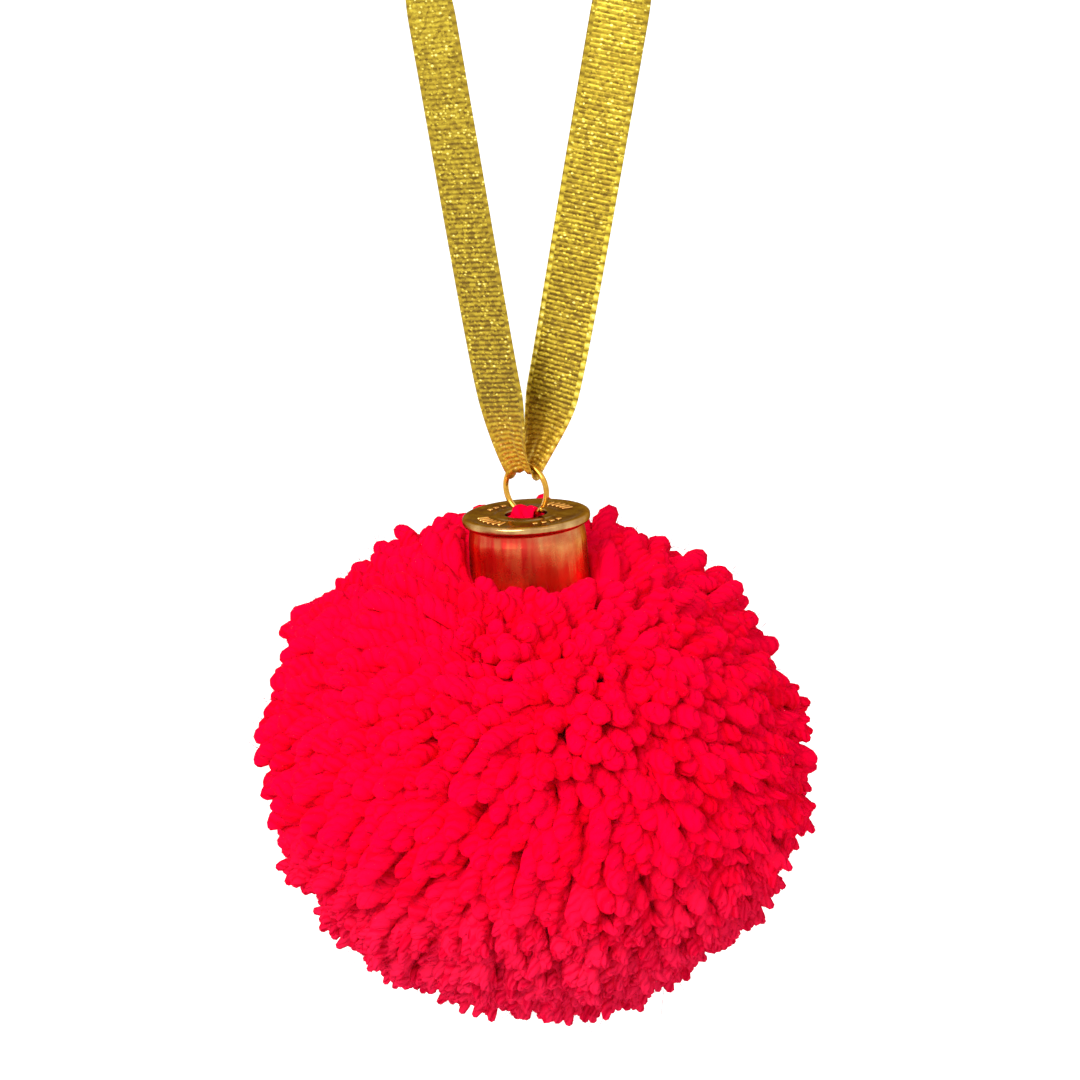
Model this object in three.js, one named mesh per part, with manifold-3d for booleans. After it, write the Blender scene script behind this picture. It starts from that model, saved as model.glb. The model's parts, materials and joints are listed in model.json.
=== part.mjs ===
// Yarn pom pom ornament. A ball of cut yarn is tied at its middle. The tie comes up through the hole
// of a brass shell-head cap and over a jump ring, and the ring hangs on a loop of metallic ribbon.
// Millimetres, +Z up. The origin is the hanging point, on the inside of the top of the ribbon loop.
// +X is to the viewer's right and -Y is towards the viewer.
import * as THREE from 'three';
import { ParametricGeometry } from 'three/addons/geometries/ParametricGeometry.js';
import { mergeVertices } from 'three/addons/utils/BufferGeometryUtils.js';
import Module from 'manifold-3d';

const { degToRad, lerp, smoothstep } = THREE.MathUtils;

// Clearance between pieces that touch
const SEAT_GAP = 0.3;

// Ball of cut yarn, with a dimple in which the cap sits
const BALL_RADIUS = 48;
const BALL_HALF_HEIGHT = 44.5;
const BALL_DROP = 45; // from the cap's face down to the ball's centre
const SHOULDER_WIDTH = 12; // from the skirt out to where the dimple meets the round of the ball
const SHOULDER_LIFT = 1; // bulge of the yarn where it turns over into the dimple
const DIMPLE_DEPTH = 9; // from the cap's face down to the yarn beside the skirt

// Brass cap, the head of a 12 gauge shell
const RIM_RADIUS = 11.2;
const RIM_THICKNESS = 1.5;
const NECK_RADIUS = 10.05;
const MOUTH_RADIUS = 10.65;
const CAP_LENGTH = 16;
const CAP_WALL = 0.5;
const WEB_THICKNESS = 1.2;
const HOLE_CLEARANCE = 0.9; // round the tie yarn that comes up through the hole

// Jump ring, upright, turned about Z so that its +X side is nearer the viewer
const RING_DIAMETER = 10;
const WIRE_DIAMETER = 1;
const RING_SLIT = 0.2;
const SLIT_ANGLE = degToRad(-35); // up from the ring's +X side
const RING_TURN = degToRad(38);
const SWING_CLEARANCE = 1.1; // from the ring to the edge of the hole that it dips into

// Tie yarn, flattened where it bends over the ring
const TIE_THICKNESS = 1.6;
const TIE_WIDTH = 4.2;
const TIE_LENGTH = 40; // from the cap's face down to the knot

// The cap and the ball lean in the ring's own plane, which keeps the ball's weight under the ring
const BALL_LEAN = degToRad(4.4);

// Ribbon loop, with its ends sewn together
const RIBBON_WIDTH = 10;
const RIBBON_THICKNESS = 0.3;
const LOOP_RADIUS = 20; // inside the arch at the top
const STRAND_SPREAD = degToRad(9.8); // each strand's lean from upright
const FLARE = 2.1; // how far each strand swings out just above the ring
const FLARE_LENGTH = 6;
const GATHER_LENGTH = 13; // height over which the ribbon opens from the ring to its full width
const GATHER_INSET = 0.6; // from the inside of the ring to the gathered ribbon's edge
const LEFT_FACING = RING_TURN; // turn of each strand's width about Z, from +X towards the viewer
const RIGHT_FACING = degToRad(14);
const UNTWIST_LENGTH = 18;
const TWIST_LENGTH = 27; // over which each strand turns edge-on below the arch

// Facets
const BALL_SIDES = 36;
const CAP_SIDES = 48;
const CURVE_STEPS = 8;
const WIRE_SIDES = 10;
const RING_STEPS = 40;
const TIE_SIDES = 14;
const TIE_STEPS = 24;
const ARCH_STEPS = 10;
const STRAND_STEPS = 26;
const STRAND_CROWDING = 1.6; // power that draws a strand's steps together towards the ring
const FOLD_STEPS = 8;
const RIBBON_ACROSS = 6;

// Worked out from the sizes above
const wireRadius = WIRE_DIAMETER / 2;
const ringRadius = RING_DIAMETER / 2 - wireRadius;
const foldRadius = wireRadius + SEAT_GAP + RIBBON_THICKNESS / 2;

// Height of the tie's middle line over the wire's at which the two would touch, at a distance out from
// the middle: the wire curves up there, the tie leans down with the ball, and its round underside lifts
function tieTouch(out) {
  const wireTop = ringRadius - Math.sqrt((ringRadius - wireRadius) ** 2 - out ** 2);
  const underside = (TIE_THICKNESS / 2) * Math.sqrt(1 - (out / (TIE_WIDTH / 2)) ** 2);
  return wireTop + out * Math.tan(BALL_LEAN) + underside;
}

// The tie clears the wire wherever it comes nearest, and the hole clears the tie
const touchSteps = Array.from({ length: TIE_STEPS + 1 }, (_, i) => ((i / TIE_STEPS) * TIE_WIDTH) / 2);
const tieBend = Math.max(...touchSteps.map(tieTouch)) + SEAT_GAP;
const holeRadius = Math.hypot(tieBend, TIE_WIDTH / 2) + HOLE_CLEARANCE;

// Where the ribbon is gathered under the wire its edges lie lower than its middle, as the wire does
const gatherHalfWidth = ringRadius - wireRadius - GATHER_INSET;
const edgeSlope = Math.cos(Math.asin(gatherHalfWidth / ringRadius));
const gatherDroop = ringRadius * (1 - edgeSlope) + wireRadius * (1 / edgeSlope - 1);

// The arch is a circle that both strands' lines touch
const archRadius = LOOP_RADIUS + RIBBON_THICKNESS / 2;
const archRise = (archRadius / Math.cos(STRAND_SPREAD) - FLARE) / Math.tan(STRAND_SPREAD);
const strandRise = archRise - archRadius * Math.sin(STRAND_SPREAD);
const archZ = -LOOP_RADIUS;
const ringTopZ = archZ - archRise;
const ringBottomZ = ringTopZ - 2 * ringRadius;

// The ring dips into the hole as far as its clearance there lets it
const dipWidth = holeRadius - SWING_CLEARANCE;
const ringDip = ringRadius - Math.sqrt((RING_DIAMETER / 2) ** 2 - dipWidth ** 2);

// Across the ring's plane, from its front to its back
const acrossRing = new THREE.Vector3(Math.sin(RING_TURN), Math.cos(RING_TURN), 0);

const wasm = await Module();
wasm.setup();

function toSolid(geometry) {
  const bare = geometry.clone();
  bare.deleteAttribute('normal');
  bare.deleteAttribute('uv');
  const merged = mergeVertices(bare);
  const vertProperties = Float32Array.from(merged.attributes.position.array);
  const triVerts = Uint32Array.from(merged.index.array);
  return new wasm.Manifold(new wasm.Mesh({ numProp: 3, vertProperties, triVerts }));
}

function toGeometry(solid) {
  const mesh = solid.getMesh();
  const geometry = new THREE.BufferGeometry();
  geometry.setAttribute('position', new THREE.BufferAttribute(mesh.vertProperties, 3));
  geometry.setIndex(new THREE.BufferAttribute(mesh.triVerts, 1));
  geometry.computeVertexNormals();
  return geometry;
}

function turnedAboutZ(path, sides) {
  return new THREE.LatheGeometry(path.getPoints(CURVE_STEPS), sides).rotateX(Math.PI / 2);
}

// Outside of the cap's skirt at a height below the face
function skirtRadius(z) {
  const share = (z + RIM_THICKNESS) / (RIM_THICKNESS - CAP_LENGTH);
  return lerp(NECK_RADIUS, MOUTH_RADIUS, Math.max(share, 0));
}

// The ball, from its bottom pole round the outside, over the shoulder, down the groove that takes
// the skirt, up the plug of yarn inside the cap and down the bore for the tie. Height 0 is the cap's face.
function ballGeometry() {
  const wallTop = -DIMPLE_DEPTH;
  const wallRadius = skirtRadius(wallTop) + SEAT_GAP;
  const shoulderRadius = wallRadius + SHOULDER_WIDTH;
  const shoulder = Math.acos(shoulderRadius / BALL_RADIUS);
  const shoulderZ = -BALL_DROP + BALL_HALF_HEIGHT * Math.sin(shoulder);
  const grooveFloor = -CAP_LENGTH - SEAT_GAP;
  const plugTop = -WEB_THICKNESS - SEAT_GAP;
  const boreFloor = -TIE_LENGTH - holeRadius;
  const path = new THREE.Path();
  path.absellipse(0, -BALL_DROP, BALL_RADIUS, BALL_HALF_HEIGHT, -Math.PI / 2, shoulder);
  const crestRadius = (shoulderRadius + wallRadius) / 2;
  path.quadraticCurveTo(crestRadius, shoulderZ + SHOULDER_LIFT, wallRadius, wallTop);
  path.lineTo(MOUTH_RADIUS + SEAT_GAP, grooveFloor);
  path.lineTo(MOUTH_RADIUS - CAP_WALL - SEAT_GAP, grooveFloor);
  path.lineTo(NECK_RADIUS - CAP_WALL - SEAT_GAP, plugTop);
  path.lineTo(holeRadius, plugTop);
  path.lineTo(holeRadius, boreFloor);
  path.lineTo(0, boreFloor);
  return turnedAboutZ(path, BALL_SIDES);
}

// The cap, from its mouth up the skirt, round the rim, across the face, down the hole and back inside
function capGeometry() {
  const rimRound = RIM_THICKNESS / 2;
  const path = new THREE.Path();
  path.moveTo(MOUTH_RADIUS, -CAP_LENGTH);
  path.lineTo(NECK_RADIUS, -RIM_THICKNESS);
  path.lineTo(RIM_RADIUS - rimRound, -RIM_THICKNESS);
  path.absarc(RIM_RADIUS - rimRound, -rimRound, rimRound, -Math.PI / 2, Math.PI / 2);
  path.lineTo(holeRadius, 0);
  path.lineTo(holeRadius, -WEB_THICKNESS);
  path.lineTo(NECK_RADIUS - CAP_WALL, -WEB_THICKNESS);
  path.lineTo(MOUTH_RADIUS - CAP_WALL, -CAP_LENGTH);
  path.closePath();
  return turnedAboutZ(path, CAP_SIDES);
}

// The ring's wire follows a circle in the XZ plane, from one side of the slit round to the other
class RingWire extends THREE.Curve {
  getPoint(t, target = new THREE.Vector3()) {
    const slit = RING_SLIT / ringRadius;
    const angle = SLIT_ANGLE + slit / 2 + t * (2 * Math.PI - slit);
    return target.set(ringRadius * Math.cos(angle), 0, ringRadius * Math.sin(angle));
  }
}

function ellipseShape(halfX, halfY, sides) {
  const ellipse = new THREE.EllipseCurve(0, 0, halfX, halfY);
  return new THREE.Shape(ellipse.getPoints(sides).slice(0, -1));
}

function ringGeometry() {
  const section = ellipseShape(wireRadius, wireRadius, WIRE_SIDES);
  const sweep = { steps: RING_STEPS, extrudePath: new RingWire() };
  return new THREE.ExtrudeGeometry(section, sweep);
}

// The tie goes up one side of the wire, round a half circle over it and down the other side.
// Its path is in the YZ plane, with the centre of the ring's bottom wire at the origin.
class TieYarn extends THREE.Curve {
  getPoint(t, target = new THREE.Vector3()) {
    const leg = TIE_LENGTH - ringDip;
    const bend = Math.PI * tieBend;
    const along = t * (2 * leg + bend);
    if (along <= leg) {
      return target.set(0, -tieBend, along - leg);
    }
    if (along >= leg + bend) {
      return target.set(0, tieBend, leg + bend - along);
    }
    const angle = (along - leg) / tieBend;
    return target.set(0, -tieBend * Math.cos(angle), tieBend * Math.sin(angle));
  }

  // Close steps round the bend, where they show, and one long step for each leg
  getUtoTmapping(u) {
    const leg = TIE_LENGTH - ringDip;
    const bend = Math.PI * tieBend;
    const whole = 2 * leg + bend;
    const firstStep = 1 / TIE_STEPS;
    if (u <= firstStep) {
      return (u / firstStep) * (leg / whole);
    }
    if (u >= 1 - firstStep) {
      return 1 - ((1 - u) / firstStep) * (leg / whole);
    }
    return lerp(leg, leg + bend, (u - firstStep) / (1 - 2 * firstStep)) / whole;
  }
}

function tieGeometry() {
  const section = ellipseShape(TIE_THICKNESS / 2, TIE_WIDTH / 2, TIE_SIDES);
  const loop = new THREE.ExtrudeGeometry(section, { steps: TIE_STEPS, extrudePath: new TieYarn() });
  const knot = new THREE.SphereGeometry(holeRadius - SEAT_GAP, TIE_SIDES, TIE_SIDES);
  knot.translate(0, 0, ringDip - TIE_LENGTH);
  return toGeometry(toSolid(loop).add(toSolid(knot)));
}

// One cross-section of the ribbon: its centre, the turn of its width about Z, and how gathered it is
function strandStation(side, rise, facing) {
  const gather = 1 - smoothstep(rise, 0, GATHER_LENGTH);
  const swing = Math.tan(STRAND_SPREAD) * rise + FLARE * (1 - Math.exp(-rise / FLARE_LENGTH));
  const centre = new THREE.Vector3(side * swing, 0, ringTopZ + rise);
  centre.addScaledVector(acrossRing, side * foldRadius * (1 - rise / strandRise));
  const untwisted = facing + (RING_TURN - facing) * Math.exp(-rise / UNTWIST_LENGTH);
  const edgeOn = smoothstep(rise, strandRise - TWIST_LENGTH, strandRise);
  return { centre, turn: -lerp(untwisted, Math.PI / 2, edgeOn), gather };
}

function archStation(angle) {
  const centre = new THREE.Vector3(archRadius * Math.cos(angle), 0, archZ + archRadius * Math.sin(angle));
  return { centre, turn: -Math.PI / 2, gather: 0 };
}

function foldStation(angle) {
  const centre = new THREE.Vector3(0, 0, ringTopZ - foldRadius * Math.sin(angle));
  centre.addScaledVector(acrossRing, -foldRadius * Math.cos(angle));
  return { centre, turn: -RING_TURN, gather: 1 };
}

// Round the whole loop: over the arch to the left, down the front strand, under the ring's top wire,
// up the back strand and over the arch again. Stations crowd together towards the ring.
function ribbonStations() {
  const half = Math.PI / 2 + STRAND_SPREAD;
  const rises = [];
  for (let i = STRAND_STEPS; i > 0; i -= 1) {
    rises.push(strandRise * (i / STRAND_STEPS) ** STRAND_CROWDING);
  }
  const stations = [];
  for (let i = 0; i < ARCH_STEPS; i += 1) {
    stations.push(archStation(Math.PI / 2 + (half * i) / ARCH_STEPS));
  }
  for (const rise of rises) {
    stations.push(strandStation(-1, rise, LEFT_FACING));
  }
  for (let i = 0; i <= FOLD_STEPS; i += 1) {
    stations.push(foldStation((Math.PI * i) / FOLD_STEPS));
  }
  for (const rise of rises.toReversed()) {
    stations.push(strandStation(1, rise, RIGHT_FACING));
  }
  for (let i = ARCH_STEPS - 1; i > 0; i -= 1) {
    stations.push(archStation(Math.PI / 2 - (half * i) / ARCH_STEPS));
  }
  return stations;
}

// The ribbon's skin runs across its outer face and back across its inner face at each station
function ribbonGeometry() {
  const stations = ribbonStations();
  const count = stations.length;
  const faceSteps = RIBBON_ACROSS + 1;
  const skin = (u, v, target) => {
    const row = Math.round(v * count) % count;
    const step = Math.round(u * 2 * faceSteps) % (2 * faceSteps);
    const { centre, turn, gather } = stations[row];
    const before = stations[(row + count - 1) % count].centre;
    const after = stations[(row + 1) % count].centre;
    const along = new THREE.Vector3().subVectors(after, before).normalize();
    const across = new THREE.Vector3(Math.cos(turn), Math.sin(turn), 0);
    const outward = new THREE.Vector3().crossVectors(along, across).normalize();
    const onOuter = step < faceSteps;
    const share = onOuter ? 1 - (2 * step) / RIBBON_ACROSS : (2 * (step - faceSteps)) / RIBBON_ACROSS - 1;
    target.copy(centre);
    target.addScaledVector(across, share * lerp(RIBBON_WIDTH / 2, gatherHalfWidth, gather));
    target.addScaledVector(outward, (onOuter ? 0.5 : -0.5) * RIBBON_THICKNESS);
    target.z -= gather * gatherDroop * share ** 2;
  };
  return new ParametricGeometry(skin, 2 * faceSteps, count);
}

const yarn = new THREE.MeshStandardMaterial({ color: 0xf2002e, roughness: 0.9 });
const brass = new THREE.MeshStandardMaterial({ color: 0xb08a4a, roughness: 0.25, metalness: 1 });
const gold = new THREE.MeshStandardMaterial({ color: 0xd8a645, roughness: 0.2, metalness: 1 });
const lurex = new THREE.MeshStandardMaterial({ color: 0xc2a23c, roughness: 0.4, metalness: 0.7 });

function piece(name, geometry, material) {
  const mesh = new THREE.Mesh(geometry, material);
  mesh.name = name;
  return mesh;
}

const ribbon = piece('hanging_ribbon', ribbonGeometry(), lurex);

const ring = piece('jump_ring', ringGeometry(), gold);
ring.position.z = ringTopZ - ringRadius;
ring.rotation.z = -RING_TURN;

// The ball, cap and tie share a group at the centre of the ring's bottom wire, which they swing about
const cap = piece('brass_cap', capGeometry(), brass);
cap.position.z = ringDip;
const ball = piece('yarn_pompom', ballGeometry(), yarn);
ball.position.z = ringDip;
const tie = piece('tie_yarn', tieGeometry(), yarn);
const swinging = new THREE.Group();
swinging.add(cap, ball, tie);
swinging.position.z = ringBottomZ;
swinging.rotation.set(0, -BALL_LEAN, -RING_TURN, 'ZYX');

const ornament = new THREE.Group();
ornament.add(ribbon, ring, swinging);

export default ornament;
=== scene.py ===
"""Yarn pom pom ornament: a ball of cut red yarn under a brass cap, hung by a jump ring on a metallic ribbon.

Shapes are worked out in millimetres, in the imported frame, and become metres when they are put into a mesh.
"""
import json
import math

import bpy
import numpy as np
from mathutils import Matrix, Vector


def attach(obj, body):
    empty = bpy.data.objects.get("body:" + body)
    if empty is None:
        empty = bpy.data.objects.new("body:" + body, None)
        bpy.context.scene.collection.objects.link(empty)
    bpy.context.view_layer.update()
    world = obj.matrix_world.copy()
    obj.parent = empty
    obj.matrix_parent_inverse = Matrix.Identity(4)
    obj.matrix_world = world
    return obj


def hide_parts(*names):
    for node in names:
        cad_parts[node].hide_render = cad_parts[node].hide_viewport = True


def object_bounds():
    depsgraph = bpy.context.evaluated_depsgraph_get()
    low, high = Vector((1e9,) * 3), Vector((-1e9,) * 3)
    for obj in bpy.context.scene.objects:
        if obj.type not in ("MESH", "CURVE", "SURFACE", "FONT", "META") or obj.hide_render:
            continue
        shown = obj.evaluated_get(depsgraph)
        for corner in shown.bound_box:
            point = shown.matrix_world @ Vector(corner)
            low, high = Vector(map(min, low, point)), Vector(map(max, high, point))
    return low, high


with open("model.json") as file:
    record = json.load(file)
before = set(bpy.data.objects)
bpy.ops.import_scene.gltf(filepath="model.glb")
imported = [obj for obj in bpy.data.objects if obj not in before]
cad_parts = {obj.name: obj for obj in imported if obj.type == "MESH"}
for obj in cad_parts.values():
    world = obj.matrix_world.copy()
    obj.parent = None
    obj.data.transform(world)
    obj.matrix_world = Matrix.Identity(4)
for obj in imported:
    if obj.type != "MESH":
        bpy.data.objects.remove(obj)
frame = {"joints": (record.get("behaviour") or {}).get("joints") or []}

CAD_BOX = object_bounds()
MM = 0.001
TURN = 2 * math.pi
rng = np.random.default_rng(12)

# The hinge gives the ornament's own axes: along the wire, across the ring from front to back, and up the cap
SWING = frame["joints"][0]
PIVOT = np.array(SWING["pos_m"]) / MM
UP = np.array([0.0, 0.0, 1.0])
ALONG_WIRE = np.array(SWING["axis"])
ACROSS_RING = np.cross(UP, ALONG_WIRE)
LEAN = math.radians(4.4)
RING_DIP = 0.2
CAP_UP = UP * math.cos(LEAN) - ALONG_WIRE * math.sin(LEAN)
FACE_CENTRE = PIVOT + RING_DIP * CAP_UP

# The ball's own axes: to the viewer's right, away from the viewer, and up the cap
BALL_RIGHT = np.cross([0.0, 1.0, 0.0], CAP_UP)
BALL_RIGHT /= np.linalg.norm(BALL_RIGHT)
BALL_BACK = np.cross(CAP_UP, BALL_RIGHT)

# Ball of yarn
BALL_RADIUS = 46.7
BALL_HALF_HEIGHT = 43.8
BALL_SIZE = np.array([BALL_RADIUS, BALL_RADIUS, BALL_HALF_HEIGHT])
BALL_DROP = 45.0
BALL_CENTRE = FACE_CENTRE - BALL_DROP * CAP_UP
CORE_SHARE = 0.74
CORE_BUMPS = 0.03
BUMP_WIDTH = 0.12
# Where the ball is fuller or lower than an ellipsoid: the way there, the height and the spread in radians
UNEVEN = [
    ((-1.0, -0.1, 0.12), 2.0, 0.42),
    ((-0.7, -0.2, -0.7), 0.5, 0.40),
    ((0.74, -0.1, 0.62), -5.4, 0.42),
    ((0.42, 0.1, 0.9), -4.0, 0.28),
    ((1.0, 0.0, 0.1), -1.4, 0.36),
    ((0.75, 0.0, -0.65), -1.4, 0.30),
]

# Strands of yarn. A strand's UV map holds 40 mm of its length
STRAND_COUNT = 2600
STRAND_RADIUS = 1.8
RADIUS_SHARES = (0.88, 1.1)
SKIN_SHARES = (0.92, 1.08)
UNDER_COUNT = 1700
UNDER_SHARE = 0.93
PLIES = 3
PLY_PITCH = 6.5
UV_SPAN = 40.0
# A strand's rings by depth from its tip, and each ring's share of the radius on a blunt and a pointed tip
TIP_DEPTHS = np.array([15.0, 10.0, 6.2, 3.4, 1.5, 0.45])
BLUNT_REACH = np.array([0.82, 0.90, 0.97, 1.02, 0.97, 0.64])
POINTED_REACH = np.array([0.80, 0.90, 0.98, 0.98, 0.76, 0.42])
POINTED_WHEN_LOW = 0.6
CUT_SLANT = 0.5
TIP_POLE = 0.3
ROOT_POLE = 0.1
# Strands are loose this far below the ball's middle
LOOSE_DEPTH = 35.0
# The strands spread from a point nearer the front and the top than the ball's middle
SPREAD_POINT = np.array([5.5, -19.0, 11.0])
SPREAD_NUDGE = 0.018
# Lengths, in shares of the ball's radius: tufts stand out together, and each strand is trimmed unevenly
TUFT_HEIGHT = 0.016
TUFT_WIDTH = 0.55
TRIM = 0.026
TRIM_RANGE = (-0.06, 0.05)
TIP_WANDER = 0.9
WANDER_WIDTH = 0.22
# Leans at the tip, in shares of the strand's own way: by weight, with its neighbours and by itself
SAG = np.array([0.0, 0.0, -0.42])
TUFT_LEAN = 0.24
LEAN_WIDTH = 0.4
STRAND_LEAN = 0.11

# Room for the cap in the yarn, with heights over its face, and the lower tips beside it
CAP_ROOM = 12.1
ROOM_HEIGHTS = (-34.0, -15.0)
DIP_HEIGHTS = (-30.0, -8.0)
DIP_WIDTH = 8.0
BACK_DIP = 1.6
FRONT_DIP = 10.0
FRONT_SPAN = (-0.3, 0.75)
RIGHT_DIP = 6.0
RIGHT_SPAN = (-0.5, 0.3)

# Loose fibres
FUZZ_COUNT = 7000
FUZZ_RADIUS = 0.045
FUZZ_SHORTEST = 0.8
FUZZ_LONGEST = 3.2
FUZZ_SPARE = 0.9
FUZZ_ROOT = 1.6
FUZZ_FROM_CAP = 26.0
FUZZ_ASIDE = 0.8
FUZZ_AHEAD = 0.7
FUZZ_STRAY = 0.4
FUZZ_CURL = 0.6
FUZZ_TAPER = [1.0, 1.0, 0.85, 0.6]
FUZZ_DEPTHS = np.array([3.0, 2.0, 1.0, 0.0])

# Frayed ends, from where the first strands fray to where all of them do
FRAY_FROM = 0.1
FRAY_ALL = 0.75
RIGHT_FRAY = 0.5
RIGHT_PLACES = (18.0, 44.0)
RIGHT_DEPTHS = (-22.0, 5.0)
FRAY_LENGTHS = (2.6, 4.2)
FRAY_RADII = (0.85, 1.1)
FRAY_ROOT = 0.85
FRAY_OPENING = 0.12
FRAY_STRAY = 0.10
FRAY_CURL = 0.16
CURL_STRAY = 0.12
FRAY_TAPER = [0.9, 1.0, 1.02, 0.95, 0.62]
FRAY_DEPTHS = np.linspace(4.0, 0.0, 5)

# Tie over the ring, and the strand ends round it in the cap's hole
TIE_ALONG = np.cross(ACROSS_RING, CAP_UP)
TIE_BEND = 1.12
TIE_LEG = 9.0
TIE_RADIUS = 1.1
TIE_SPACING = 2.3
TIE_FLATNESS = (1.15, 0.46)
END_TURNS = np.radians([-72, -46, -18, 18, 46, 72, 108, 134, 162, 198, 226, 252])
END_RADIUS = 0.85
END_PLACE = 2.7
END_TOPS = (-0.1, 0.05)
END_TOP_UNDER_WIRE = -0.3
NEAR_WIRE = 0.9
END_DEPTHS = np.array([8.5, 5.0, 2.6, 1.2, 0.4])
END_REACH = [0.9, 1.0, 1.0, 0.95, 0.7]

# Brass cap
RIM_RADIUS = 11.2
RIM_THICKNESS = 1.5
RIM_ROUNDING = 0.55
NECK_RADIUS = 10.05
NECK_FILLET = 0.6
MOUTH_RADIUS = 10.65
CAP_LENGTH = 16.0
CAP_WALL = 0.5
CAP_COLUMNS = 160
WEB_THICKNESS = 1.2
HOLE_RADIUS = 3.65
HOLE_ROUNDING = 0.3
LAND_HEIGHT = 0.05
# The dish in the face, as places from the axis and heights over the face
DISH = [[9.9, 0.0], [9.6, -0.05], [9.2, -0.09], [7.5, -0.09], [5.9, -0.09], [5.6, -0.04], [5.45, 0.03]]
DISH_LAND = 5.2
# How polished the brass is, with the face darker as painted shade as well as tarnish, and the painted red
# reflection of the yarn under the rim, by the depth below the face
FACE_HEIGHTS = (-0.5, -0.2)
FACE_PLACES = (-10.7, -10.0)
RIM_POLISH = 0.35
POLISH_DEPTHS = (2.0, 5.0)
RED_REFLECTION_TOP = (1.5, 2.2)
RED_REFLECTION_FOOT = (8.0, 11.0)
FAINT_RED_REFLECTION = 0.55
RED_REFLECTION_SIDE = (-0.55, 0.1)
# Marks on the face: the turn in degrees, the inner and the outer end from the axis, and the width
BAR = (6.6, 8.7, 0.75)
DOT = (7.2, 8.1, 0.9)
FACE_MARKS = [(20 + 9 * k, *BAR) for k in range(5)]
FACE_MARKS += [(110 + 12 * k, *DOT) for k in range(4)]
FACE_MARKS += [(192 + 9 * k, *BAR) for k in range(6)]
FACE_MARKS += [(282 + 12 * k, *DOT) for k in range(4)]
MARK_ROUNDNESS = 0.45
MARK_SINK = 0.12
MARK_HALF_HEIGHT = 0.22

# Jump ring
RING_RADIUS = 4.5
WIRE_RADIUS = 0.5
WIRE_END_SHARE = 0.86
RING_SLIT = 0.2
SLIT_ANGLE = math.radians(-35)
RING_TURN = math.radians(38)
RING_CENTRE = PIVOT + RING_RADIUS * UP

# Ribbon loop
RIBBON_WIDTH = 10.0
RIBBON_THICKNESS = 0.3
LOOP_RADIUS = 20.0
STRAND_SPREAD = math.radians(9.8)
FLARE = 2.1
FLARE_LENGTH = 6.0
GATHER_LENGTH = 13.0
GATHER_INSET = 0.6
RIGHT_GATHER = 2.6
LEFT_FACING = math.radians(34)
RIGHT_FACING = math.radians(14)
UNTWIST_LENGTH = 18.0
TWIST_LENGTH = 27.0
SEAT_GAP = 0.3
FOLD_RADIUS = WIRE_RADIUS + SEAT_GAP + RIBBON_THICKNESS / 2
GATHER_HALF_WIDTH = RING_RADIUS - WIRE_RADIUS - GATHER_INSET
EDGE_SLOPE = math.cos(math.asin(GATHER_HALF_WIDTH / RING_RADIUS))
GATHER_DROOP = RING_RADIUS * (1 - EDGE_SLOPE) + WIRE_RADIUS * (1 / EDGE_SLOPE - 1)
ARCH_RADIUS = LOOP_RADIUS + RIBBON_THICKNESS / 2
ARCH_RISE = (ARCH_RADIUS / math.cos(STRAND_SPREAD) - FLARE) / math.tan(STRAND_SPREAD)
STRAND_RISE = ARCH_RISE - ARCH_RADIUS * math.sin(STRAND_SPREAD)
RING_TOP_Z = -LOOP_RADIUS - ARCH_RISE
# Weave: half thicknesses, and places across the ribbon in shares of its half width
RIB_PITCH = 0.85
ROWS_PER_RIB = 4
CLOTH_HALF = 0.11
RIB_SWELL = 0.05
CORD_SWELL = 0.12
BEAD_SWELL = 0.06
CORD_PLACE = 0.93
CORD_WIDTH = 0.055
EDGE_SQUARENESS = 14
EDGE_PLACES = np.array([0.86, 0.91, 0.95, 0.985, 1.0])
FLAT_PLACES = np.linspace(-0.78, 0.78, 11)
PLEAT_HEIGHT = 0.22
PLEAT_COUNT = 1.5
# Seam at the top of the loop
SEAM_LAP = 12.0
SEAM_LIFT = 0.37
STITCH_PLACES = np.linspace(-3.9, 3.9, 7)
STITCH_POINTS = 6
STITCH_HALF_LENGTH = 0.45
STITCH_RADIUS = 0.14
STITCH_RISE = 0.22
STITCH_DIP = 0.25
STITCH_INSET = 2.0

# Finishes: sizes of their patterns
FIBRE_SPACING = 0.3
FIBRE_LENGTH = 2.0
STRAND_GIRTH = 12.0
PLY_UNEVENNESS = 4.0
DRAW_LINE_PITCH = 0.25
DRAW_WAVE_PITCH = 1.6
CAP_GIRTH = 66.0
TARNISH_PATCH = 3.0
RUB_WIDTH = 1.2
FILM_WIDTH = 0.6
GLINT_SHARE = 0.14
# A wave texture of scale 1 has this many waves in a turn
WAVES_IN_TURN = 20

# Studio. The photograph is 1080 pixels wide and shows 188.35 mm at the cap's depth, from 17 degrees above
PHOTO_SIZE = 1080
PHOTO_SPAN = 188.35
CAMERA_DISTANCE = 480.0
CAMERA_RISE = math.radians(17)
FACE_PIXEL = (526.0, 513.0)
FLOOR_HALF = 4000.0
FLOOR_DROP = 120.0
FLOOR_GLOW = 0.3
ROOM_LIGHT = 0.72
KEY_PLACE = BALL_CENTRE + [-420, -560, 520]
KEY_SPREAD = math.radians(40)
KEY_STRENGTH = 2.7
FILL_PLACE = BALL_CENTRE + [400, -500, 450]
FILL_SIZE = 500.0
FILL_WATTS = 0.4


# Small tools

def smoothstep(x, low, high):
    """0 up to low, 1 from high, and three squares less two cubes of the share between them."""
    share = np.clip((x - low) / (high - low), 0.0, 1.0)
    return share * share * (3 - 2 * share)


def unit(vectors):
    """The same directions, each 1 long."""
    return vectors / np.linalg.norm(vectors, axis=-1, keepdims=True)


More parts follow.
